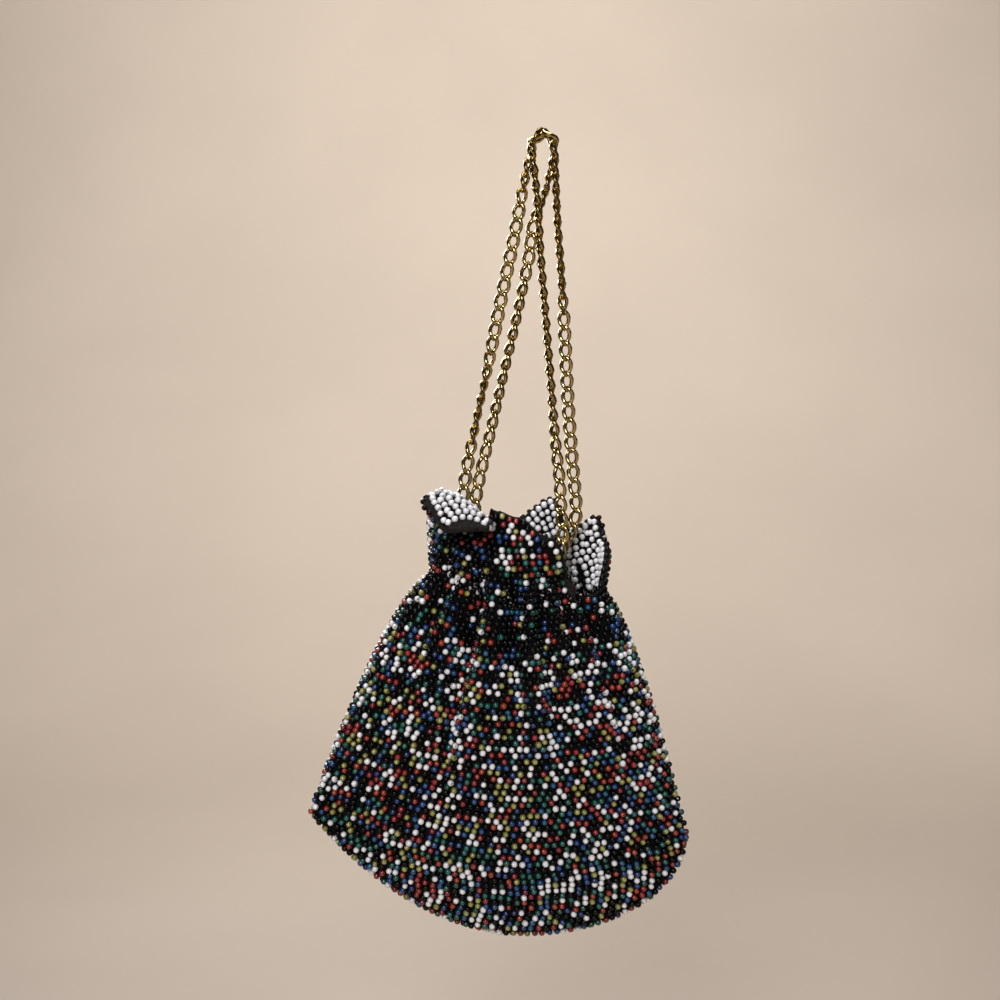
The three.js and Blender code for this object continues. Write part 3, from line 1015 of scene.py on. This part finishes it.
def add_wall(name, runs, closed, bearings, node):
    """Wall whose rows run over the outer face and back over the inner face, at runs by bearing.

    Where it isn't closed, its first and last rows lie on the bottom seam, and mirrored bearings
    share their points there.
    """
    outer = wall_point(bearings[None, :], runs, CLOTH_FACE)
    inner = wall_point(bearings[None, :], runs[::-1], WALL)
    points = np.concatenate([outer, inner])
    rows, columns = points.shape[:2]
    quads = grid_quads(rows, columns, closed_rows=closed)
    weld = np.arange(rows * columns)
    if not closed:
        mirrored = np.minimum(np.arange(columns), columns - np.arange(columns))
        weld[:columns] = mirrored
        weld[-columns:] = (rows - 1) * columns + mirrored
    used, corners = np.unique(weld[quads], return_inverse=True)
    material = cloth_material(f"{node}_thread", colour_of("thread"), *WALL_STITCH)
    piece = add_piece(name, points.reshape(-1, 3)[used], corners.reshape(-1, 4), material)
    row, column = np.divmod(quads, columns)
    along = np.where(column[:, :1] == columns - 1, np.where(column == 0, columns, column), column)
    height = np.concatenate([runs, runs[::-1]])[row, column]
    add_uv(piece, np.stack([along / columns, 0.5 * height], axis=-1))
    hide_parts(node)
    return piece


class BEADEDBAG_OT_pouch(bpy.types.Operator):
    """Cloth of the pouch: from the bottom seam up to the neck outside, and back down inside"""

    bl_idname = "beaded_bag.pouch"
    bl_label = "Pouch cloth"

    def execute(self, context):
        bearings = 360.0 * np.arange(CLOTH_COLUMNS) / CLOTH_COLUMNS
        down = (1.0 - np.linspace(0.0, 1.0, BODY_STEPS + 1)) ** CROWDING
        runs = np.broadcast_to(1.0 - down[::-1, None], (BODY_STEPS + 1, CLOTH_COLUMNS))
        piece = add_wall("pouch_cloth", runs, False, bearings, "pouch")
        return {"FINISHED"}


class BEADEDBAG_OT_collar(bpy.types.Operator):
    """Cloth of the collar: from the neck to the rim outside, back inside, and across at the neck"""

    bl_idname = "beaded_bag.collar"
    bl_label = "Collar cloth"

    def execute(self, context):
        bearings = 360.0 * np.arange(CLOTH_COLUMNS) / CLOTH_COLUMNS
        up = 1.0 - (1.0 - np.linspace(0.0, 1.0, COLLAR_STEPS + 1)) ** CROWDING
        drop = CLOTH_DROP + border_row(bearings, RIM_DROP)
        short = np.clip(1.0 - drop / petal_at(bearings)[0], SHORTEST, 1.0)
        runs = -np.maximum(up[:, None] * short[None, :], 1e-6)
        piece = add_wall("collar_cloth", runs, True, bearings, "collar")
        return {"FINISHED"}


class BEADEDBAG_OT_facing(bpy.types.Operator):
    """Cloth inside the collar: a strip with one section at each bearing, closed at both ends"""

    bl_idname = "beaded_bag.facing"
    bl_label = "Collar facing"

    def execute(self, context):
        bearings = np.linspace(BARE_TO - 360.0, BARE_FROM, FACING_ROWS)[::-1]
        height = petal_at(bearings)[0]
        drop = FACING_DROP + border_row(bearings, RIM_DROP)
        top = np.clip(1.0 - drop / height, *FACING_TOP)
        up = lerp(FACING_LOW, top[:, None], np.linspace(0.0, 1.0, FACING_COLUMNS)[None, :])
        front = collar_point(bearings[:, None], up, FACING_FACE)
        back = collar_point(bearings[:, None], up[:, ::-1], FACING_BACK)
        points = np.concatenate([front, back], axis=1)
        rows, columns = points.shape[:2]
        across = np.arange(columns // 2 - 1)
        ends = [across, columns - 1 - across, columns - 2 - across, across + 1]
        cap = np.stack(ends, axis=-1)
        last = (rows - 1) * columns + cap[:, ::-1]
        quads = np.concatenate([grid_quads(rows, columns), cap, last])
        material = cloth_material("facing_thread", colour_of("thread"), *FACING_STITCH)
        piece = add_piece("facing_cloth", points.reshape(-1, 3), quads, material)
        row_index, column_index = np.divmod(piece_corners(piece), columns)
        add_uv(piece, np.stack([row_index / rows, column_index / columns], axis=-1))
        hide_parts("collar_facing")
        return {"FINISHED"}


class BEADEDBAG_OT_binding(bpy.types.Operator):
    """Bare binding: a tape profile carried round the rim, over its edge and both faces"""

    bl_idname = "beaded_bag.binding"
    bl_label = "Rim binding"

    def execute(self, context):
        bearings = 360.0 * np.arange(BINDING_COLUMNS) / BINDING_COLUMNS
        height = petal_at(bearings)[0]
        middle = 0.5 * (BINDING_OUT + BINDING_IN)
        half = 0.5 * (BINDING_IN - BINDING_OUT)
        crown = border_row(bearings, RIM_DROP) + BINDING_CROWN * half
        most = SIDE_LIMIT * height
        outer_drop = np.minimum(border_at(bearings, OUTER_WIDTH) + BORDER_TUCK, most)
        inner_drop = np.minimum(border_at(bearings, INNER_WIDTH) + BORDER_TUCK, most)
        arc = np.radians(np.linspace(0.0, 180.0, BINDING_ARC))
        sides = np.linspace(0.0, 1.0, BINDING_STEPS, endpoint=False)
        profile = [(middle - half, lerp(outer_drop, crown, share)) for share in sides]
        profile += [
            (middle - half * math.cos(a), crown - BINDING_CROWN * half * math.sin(a)) for a in arc
        ]
        profile += [(middle + half, lerp(inner_drop, crown, share)) for share in sides[::-1]]
        size, waves, start = np.transpose(RIPPLES)[:, :, None]
        ripple = np.sum(size * np.sin(np.radians(bearings * waves + start)), axis=0)
        rows = [
            collar_point(bearings, 1.0 - np.minimum(drop / height, BINDING_LIMIT), inset + ripple)
            for inset, drop in profile
        ]
        points = np.stack(rows)
        quads = grid_quads(len(points), BINDING_COLUMNS, closed_rows=True)
        material = cloth_material("binding_tape", colour_of("tape"), *TAPE_STITCH)
        piece = add_piece("rim_binding", points.reshape(-1, 3), quads, material)
        row_index, column_index = np.divmod(piece_corners(piece), BINDING_COLUMNS)
        along = column_index / BINDING_COLUMNS
        add_uv(piece, np.stack([along, TAPE_WIDTH * row_index / len(points)], axis=-1))
        return {"FINISHED"}


class BEADEDBAG_OT_beads(bpy.types.Operator):
    """Glass beads on the outside, one piece for each colour, every second row shifted"""

    bl_idname = "beaded_bag.beads"
    bl_label = "Outer beads"

    def execute(self, context):
        sizes = settings().sizes
        draws = np.random.default_rng(SEED)
        pitch = sizes.bead_pitch / MM
        body = body_lattice(sizes.bead_spacing / MM, pitch, sizes.collar_spacing / MM)
        collar = petal_rows(BEAD_SEAT, COLLAR_START * pitch, pitch, sizes.collar_spacing / MM)
        turn = np.concatenate([body[0], collar[0]])
        run = np.concatenate([body[1], collar[1]])
        beads = loosen(draws, *wall_frame(turn, run, BEAD_SEAT), OUTER_HAND)
        colour = draws.choice(len(COLOURS), len(turn), p=SHARES)
        # more black beads near the gathers: partly the bag's own, partly painted shade of the folds
        more_black = np.interp(run, *np.transpose(MORE_BLACK))
        colour = np.where(draws.random(len(turn)) < more_black, COLOURS.index("black"), colour)
        radius = bead_radii(draws, sizes.bead_diameter, len(turn), OUTER_HAND)
        tint = draws.random(len(turn))
        for index, name in enumerate(COLOURS):
            chosen = colour == index
            picked = [part[chosen] for part in beads]
            scatter_beads(f"beads_{name}", picked, radius[chosen], tint[chosen], name)
        return {"FINISHED"}


class BEADEDBAG_OT_facing_beads(bpy.types.Operator):
    """White glass beads inside the collar, in rows that stop short of the binding"""

    bl_idname = "beaded_bag.facing_beads"
    bl_label = "Facing beads"

    def execute(self, context):
        sizes = settings().sizes
        draws = np.random.default_rng(SEED + 1)
        pitch = sizes.facing_pitch / MM
        turn, run = facing_rows(FACING_BEAD_SEAT, FACING_START, pitch, sizes.facing_spacing / MM)
        place, row, side, out = wall_frame(turn, run, FACING_BEAD_SEAT)
        beads = loosen(draws, place, row, -side, -out, FACING_HAND)
        radius = bead_radii(draws, sizes.facing_bead_diameter, len(turn), FACING_HAND)
        scatter_beads("facing_beads", beads, radius, draws.random(len(turn)), "white")
        return {"FINISHED"}


class BEADEDBAG_OT_rim_beads(bpy.types.Operator):
    """Black glass beads along the very edge of the collar, at even steps of the rim"""

    bl_idname = "beaded_bag.rim_beads"
    bl_label = "Rim beads"

    def execute(self, context):
        sizes = settings().sizes
        draws = np.random.default_rng(SEED + 2)
        bearings = np.linspace(0.0, 360.0, MEASURE_BEARINGS + 1)
        middle = 0.5 * (BINDING_OUT + BINDING_IN)
        around = run_lengths(collar_point(bearings, 1.0, middle), 0)
        steps = int(around[-1] / (sizes.rim_pitch / MM))
        turn = np.interp(np.arange(steps) / steps * around[-1], around, bearings)
        turn = turn[(turn < PLAIN_FROM) | (turn > PLAIN_TO)]
        lowered = np.maximum(1.0 - RIM_SINK / petal_at(turn)[0], 0.5)
        beads = loosen(draws, *wall_frame(turn, -lowered, middle), RIM_HAND)
        radius = bead_radii(draws, sizes.rim_bead_diameter, len(turn), RIM_HAND)
        scatter_beads("rim_beads", beads, radius, draws.random(len(turn)), "black")
        return {"FINISHED"}


class BEADEDBAG_OT_chains(bpy.types.Operator):
    """The two closed curb chains, link by link along their routes"""

    bl_idname = "beaded_bag.chains"
    bl_label = "Chains"

    def execute(self, context):
        sizes = settings().sizes
        material = gold_material("pale_gold", colour_of("gold"))
        strands = (LEFT_OUTER, LEFT_RING, LEFT_INNER)
        chain_links("left", strands, (LEFT_OUTER_TURN, LEFT_INNER_TURN), sizes, material)
        strands = (RIGHT_OUTER, RIGHT_RING, RIGHT_INNER)
        chain_links("right", strands, (RIGHT_OUTER_TURN, RIGHT_INNER_TURN), sizes, material)
        return {"FINISHED"}


class BEADEDBAG_OT_stage(bpy.types.Operator):
    """Pale floor that curves up into a backdrop, soft lights, and the camera"""

    bl_idname = "beaded_bag.stage"
    bl_label = "Stage"

    def execute(self, context):
        scene = context.scene
        self.add_floor(scene)
        self.add_lights(scene)
        self.add_world(scene)
        self.add_camera(scene)
        scene.view_settings.view_transform = "Standard"
        return {"FINISHED"}

    def add_floor(self, scene):
        """Floor, quarter round and backdrop as one profile in depth and height, carried across."""
        bend = np.radians(np.linspace(0.0, 90.0, BEND_STEPS))
        curve_depth = BEND_START + BEND_RADIUS * np.sin(bend)
        curve_height = FLOOR_LEVEL + BEND_RADIUS * (1.0 - np.cos(bend))
        depth = np.concatenate([FLOOR_FRONT, curve_depth, [BEND_START + BEND_RADIUS]])
        flat = np.full(len(FLOOR_FRONT), FLOOR_LEVEL)
        height = np.concatenate([flat, curve_height, [FLOOR_LEVEL + BACKDROP_RISE]])
        across = np.linspace(-FLOOR_HALF_WIDTH, FLOOR_HALF_WIDTH, FLOOR_COLUMNS)
        x, y = np.meshgrid(across, depth, indexing="ij")
        points = np.stack([x, y, np.broadcast_to(height, x.shape)], axis=-1).reshape(-1, 3) * MM
        quads = grid_quads(len(across), len(depth), closed_columns=False)
        mesh = bpy.data.meshes.new("floor")
        mesh.from_pydata(points.tolist(), [], quads.tolist())
        mesh.polygons.foreach_set("use_smooth", np.ones(len(quads), dtype=bool))
        mesh.materials.append(self.floor_material())
        floor = bpy.data.objects.new("floor", mesh)
        scene.collection.objects.link(floor)

    def floor_material(self):
        """Pale floor with a soft mottle and painted shade near the bag that fades behind and beside
        it.
        """
        material, tree, shader = new_material("pale_floor")
        colour = colour_of("floor")
        tones = [(0.3, shade(colour, 0.97)), (0.7, shade(colour, 1.03))]
        tone = ramp_node(tree, noise_value(tree, FLOOR_GRAIN, 4.0), tones)
        axes = add_node(tree, "SeparateXYZ", {0: coordinate(tree, "Object")})
        behind = range_value(tree, axes.outputs["Y"], 0.0, 1.0, *FADE_BEHIND)
        sideways = math_value(tree, "ABSOLUTE", axes.outputs["X"])
        beside = range_value(tree, sideways, 0.0, 1.0, *FADE_BESIDE)
        away = math_value(tree, "MAXIMUM", behind, beside)
        # painted shade: the floor darker near the bag, fading out behind and beside it
        nearer = ramp_node(tree, away, [(0.0, NEAR_PAINTED_SHADE), (1.0, PLAIN)])
        finish = {
            "Base Color": multiply(tree, tone, nearer),
            "Roughness": 0.8,
            "Specular IOR Level": 0.1,
        }
        feed(tree, shader, finish)
        return material

    def add_lights(self, scene):
        """Disk lights from the table, each aimed at its target and not seen itself."""
        for name, place, target, size, power, spread in LIGHTS:
            data = bpy.data.lights.new(name, "AREA")
            data.shape = "DISK"
            data.size = size
            data.energy = power
            data.spread = math.radians(spread)
            lamp = bpy.data.objects.new(name, data)
            lamp.location = place
            aim = Vector(target) - Vector(place)
            lamp.rotation_euler = aim.to_track_quat("-Z", "Y").to_euler()
            lamp.visible_camera = False
            scene.collection.objects.link(lamp)

    def add_world(self, scene):
        """Dim surroundings for the light, with a pale tone behind what shows past the floor."""
        world = bpy.data.worlds.new("studio")
        world.use_nodes = True
        tree = world.node_tree
        tree.nodes.clear()
        dim = add_node(tree, "Background", {"Color": AMBIENT, "Strength": AMBIENT_STRENGTH})
        pale_tone = (*colour_of("floor"), 1.0)
        pale = add_node(tree, "Background", {"Color": pale_tone, "Strength": PAST_FLOOR_STRENGTH})
        seen = add_node(tree, "LightPath").outputs["Is Camera Ray"]
        mix = add_node(tree, "MixShader", {0: seen, 1: dim.outputs[0], 2: pale.outputs[0]})
        add_node(tree, "OutputWorld", {"Surface": mix.outputs[0]})
        scene.world = world

    def add_camera(self, scene):
        """Level camera at the height of the middle of the view, looking along +Y."""
        data = bpy.data.cameras.new("camera")
        data.sensor_width = CAMERA_SENSOR
        data.lens = CAMERA_LENS
        camera = bpy.data.objects.new("camera", data)
        camera.location = CAMERA_PLACE
        camera.rotation_euler = (math.radians(90.0), 0.0, 0.0)
        scene.collection.objects.link(camera)
        scene.camera = camera


class BEADEDBAG_PT_panel(bpy.types.Panel):
    """Lists the pieces of the bag and their settings"""

    bl_idname = "BEADEDBAG_PT_panel"
    bl_label = "Beaded bag"
    bl_space_type = "VIEW_3D"
    bl_region_type = "UI"
    bl_category = "Beaded bag"

    def draw(self, context):
        bag = context.scene.beaded_bag
        for group in (bag.sizes, bag.colours):
            box = self.layout.box()
            for name in group.__annotations__:
                box.prop(group, name)
        for operator in OPERATORS:
            self.layout.operator(operator.bl_idname)


OPERATORS = (
    BEADEDBAG_OT_stage,
    BEADEDBAG_OT_pouch,
    BEADEDBAG_OT_collar,
    BEADEDBAG_OT_facing,
    BEADEDBAG_OT_binding,
    BEADEDBAG_OT_beads,
    BEADEDBAG_OT_facing_beads,
    BEADEDBAG_OT_rim_beads,
    BEADEDBAG_OT_chains,
)
CLASSES = (BagSizes, BagColours, BagSettings, *OPERATORS, BEADEDBAG_PT_panel)


def register():
    """Registers the classes and gives the scene its settings."""
    for cls in CLASSES:
        bpy.utils.register_class(cls)
    bpy.types.Scene.beaded_bag = bpy.props.PointerProperty(type=BagSettings)


def unregister():
    """Takes back what register added."""
    del bpy.types.Scene.beaded_bag
    for cls in reversed(CLASSES):
        bpy.utils.unregister_class(cls)


def main():
    """Registers the classes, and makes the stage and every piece."""
    register()
    bpy.ops.beaded_bag.stage()
    bpy.ops.beaded_bag.pouch()
    bpy.ops.beaded_bag.collar()
    bpy.ops.beaded_bag.facing()
    bpy.ops.beaded_bag.binding()
    bpy.ops.beaded_bag.beads()
    bpy.ops.beaded_bag.facing_beads()
    bpy.ops.beaded_bag.rim_beads()
    bpy.ops.beaded_bag.chains()


if __name__ == "__main__":
    main()
